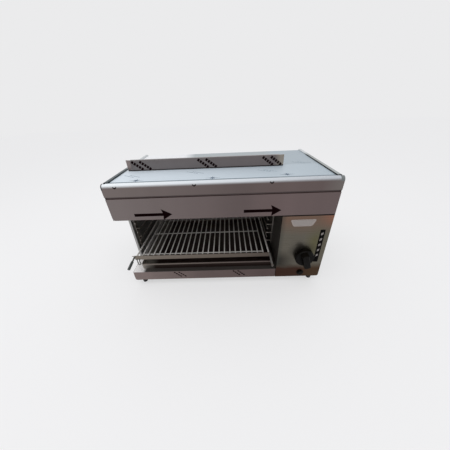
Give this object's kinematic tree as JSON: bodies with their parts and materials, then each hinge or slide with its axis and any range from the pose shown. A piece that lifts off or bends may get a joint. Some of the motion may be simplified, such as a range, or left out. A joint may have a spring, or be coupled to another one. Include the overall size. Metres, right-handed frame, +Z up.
{
  "type": "cheese melter",
  "caption": "Counter-top gas cheese melter: a hood with downward burners over an open cavity with a sliding wire rack and drip tray, and a control box on the right.",
  "frame": {"origin": "middle of the outer box in plan, at the level that the feet stand on", "axes": "+X to the right seen from the front, +Y from the front to the back, +Z up"},
  "size_m": [0.802, 0.4998, 0.509],
  "materials": {
    "film_steel_light": "brushed stainless steel under a clear protective film, pale",
    "film_steel_grey": "brushed stainless steel under a printed protective film",
    "panel_steel": "satin stainless steel control panel",
    "inner_steel": "plain stainless sheet",
    "bright_steel": "bright drawn steel wire",
    "black_plastic": "black heat-proof plastic",
    "black_trim": "black enamelled strip",
    "badge_face": "pale anodised plate, bare",
    "rubber": "black rubber",
    "brass": "machined brass",
    "ceramic": "porous ceramic burner plaque",
    "zinc_steel": "zinc-plated steel",
    "wire_cover": "silicone-sleeved lead",
    "grip": "dark heat-proof grip"
  },
  "bodies": {
    "housing": {"left_side_panel": "film_steel_light", "right_side_panel": "film_steel_light", "base_pan": "inner_steel", "base_front": "film_steel_grey", "deck": "film_steel_light", "control_box_wall": "inner_steel", "control_panel": "panel_steel", "badge_plate": "badge_face", "window_strip": "black_trim", "back_panel": "inner_steel", "cavity_back_liner": "film_steel_light", "top_cover": "film_steel_light", "hood_fascia": "film_steel_grey", "burner_ceiling": "inner_steel", "heat_shield": "inner_steel", "flue_collar": "inner_steel", "flue_grille": "inner_steel", "deflector": "film_steel_grey", "deflector_rivets": "zinc_steel", "burner_body_left": "inner_steel", "burner_body_right": "inner_steel", "burner_plaque_left": "ceramic", "burner_plaque_right": "ceramic", "venturi_left": "zinc_steel", "venturi_right": "zinc_steel", "burner_guard_left": "bright_steel", "burner_guard_right": "bright_steel", "gas_manifold": "zinc_steel", "injector_left": "brass", "injector_right": "brass", "gas_inlet_pipe": "zinc_steel", "gas_inlet": "brass", "gas_inlet_locknut": "brass", "gas_valve": "brass", "gas_valve_nut": "zinc_steel", "valve_spring": "zinc_steel", "igniter_body": "black_plastic", "igniter_nut": "zinc_steel", "igniter_spring": "zinc_steel", "spark_electrode": "ceramic", "flame_probe": "zinc_steel", "ignition_lead": "wire_cover", "flame_probe_capillary": "zinc_steel", "rack_runner_left": "bright_steel", "rack_runner_right": "bright_steel", "feet": "rubber", "foot_screws_and_nuts": "zinc_steel", "back_screws": "zinc_steel"},
    "rack": {"rack_grid": "bright_steel", "rack_front_bar": "bright_steel", "rack_hook": "bright_steel", "rack_handle_left": "bright_steel", "rack_handle_right": "bright_steel", "handle_grip": "grip", "handle_cap": "grip"},
    "tray": {"drip_tray": "film_steel_light"},
    "igniter_push": {"igniter_button": "black_plastic"},
    "valve_push": {"valve_pusher": "brass"},
    "valve_knob": {"knob": "black_plastic", "valve_spindle": "brass"}
  },
  "joints": [
    {"name": "rack_slide", "type": "slide", "parent": "housing", "child": "rack", "axis": [0, -1, 0], "range_m": [0, 0.25]},
    {"name": "tray_slide", "type": "slide", "parent": "housing", "child": "tray", "axis": [0, -1, 0], "range_m": [0, 0.28]},
    {"name": "igniter_press", "type": "slide", "parent": "housing", "child": "igniter_push", "axis": [0, 1, 0], "range_m": [0, 0.006], "stiffness_N_per_m": 2200, "springref_m": -0.001, "deforming": ["igniter_spring"]},
    {"name": "valve_press", "type": "slide", "parent": "housing", "child": "valve_push", "axis": [0, 1, 0], "range_m": [0, 0.0035], "stiffness_N_per_m": 1800, "springref_m": -0.0015, "deforming": ["valve_spring"]},
    {"name": "knob_turn", "type": "hinge", "parent": "valve_push", "child": "valve_knob", "pos_m": [0.319, -0.2029, 0.1445], "axis": [0, -1, 0], "range_deg": [-16, 164]}
  ]
}
